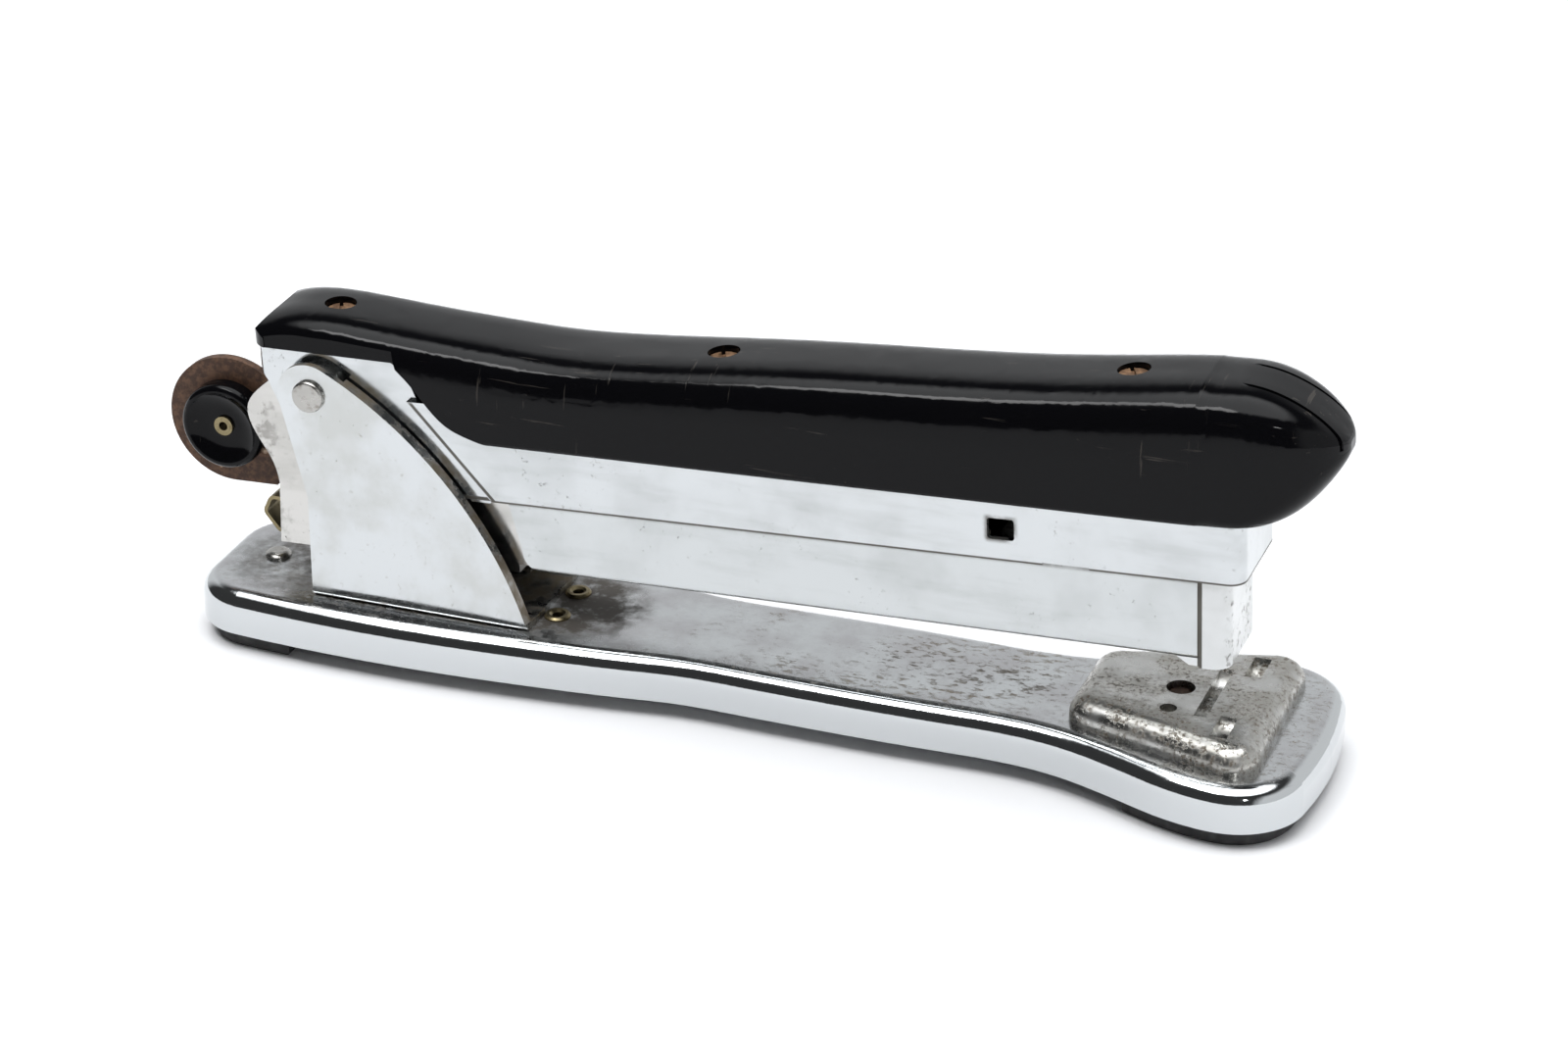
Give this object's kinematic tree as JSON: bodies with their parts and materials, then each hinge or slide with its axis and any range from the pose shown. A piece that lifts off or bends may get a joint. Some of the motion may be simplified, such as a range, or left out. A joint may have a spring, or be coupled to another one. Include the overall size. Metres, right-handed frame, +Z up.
{
  "type": "stapler",
  "caption": "Long-arm desk stapler: moulded black grip on a plated frame, sprung magazine with a rear pull knob, and a dog-bone metal base with a raised anvil.",
  "frame": {"origin": "under the middle of the stapler's overall length and width, on the surface it stands on", "axes": "+X towards the nose where the staple comes out, +Y to the left of someone facing along +X, +Z up"},
  "size_m": [0.1913, 0.044, 0.0665],
  "materials": {
    "black_plastic": "glossy moulded plastic with fine scratches",
    "chrome_plate": "worn chrome plating",
    "bright_steel": "plain steel, lightly stained",
    "spring_steel": "blued spring steel",
    "rusty_steel": "steel browned with old rust",
    "brass_rivet": "dull brass",
    "foot_rubber": "matt black rubber",
    "staple_wire": "bright galvanised wire"
  },
  "bodies": {
    "base": {"base_shell": "chrome_plate", "stiffener_plate": "bright_steel", "front_foot": "foot_rubber", "rear_foot": "foot_rubber", "anvil_plate": "chrome_plate", "anvil_rivet": "bright_steel", "rear_rivet": "bright_steel", "bracket_rivets": "bright_steel", "front_rivets": "brass_rivet", "pivot_bracket": "chrome_plate", "pivot_pin": "bright_steel", "pivot_washers": "bright_steel", "lift_spring": "spring_steel"},
    "magazine": {"magazine_channel": "chrome_plate", "nose_cap": "chrome_plate", "magazine_carrier": "chrome_plate", "pivot_sleeve": "bright_steel", "carrier_spacer": "bright_steel", "staple_rail": "bright_steel", "staple_strip": "staple_wire", "latch_spring": "rusty_steel"},
    "handle": {"handle_frame": "chrome_plate", "grip": "black_plastic", "grip_screws": "rusty_steel", "driver_blade": "bright_steel", "driver_holder": "bright_steel", "handle_spring": "spring_steel"},
    "pusher": {"knob_tongue": "rusty_steel", "knob_button_right": "black_plastic", "knob_button_left": "black_plastic", "knob_rivet": "brass_rivet", "pusher_rod": "bright_steel", "spring_seat": "bright_steel"},
    "follower": {"follower": "bright_steel", "pusher_spring": "spring_steel"}
  },
  "joints": [
    {"name": "magazine_hinge", "type": "hinge", "parent": "base", "child": "magazine", "pos_m": [-0.0658, 0, 0.0446], "axis": [0, 1, 0], "range_deg": [-20, 3], "stiffness_Nm_per_rad": 2, "springref_deg": -3.44, "deforming": ["lift_spring"]},
    {"name": "handle_hinge", "type": "hinge", "parent": "magazine", "child": "handle", "pos_m": [-0.0658, 0, 0.0446], "axis": [0, 1, 0], "range_deg": [0, 3.6], "stiffness_Nm_per_rad": 2, "springref_deg": -4.58, "deforming": ["handle_spring"]},
    {"name": "pusher_slide", "type": "slide", "parent": "magazine", "child": "pusher", "axis": [-0.9992, 0, -0.0401], "range_m": [0, 0.11]},
    {"name": "follower_slide", "type": "slide", "parent": "pusher", "child": "follower", "axis": [-0.9992, 0, -0.0401], "range_m": [0, 0.095], "stiffness_N_per_m": 15, "springref_m": -0.06, "deforming": ["pusher_spring"]}
  ]
}
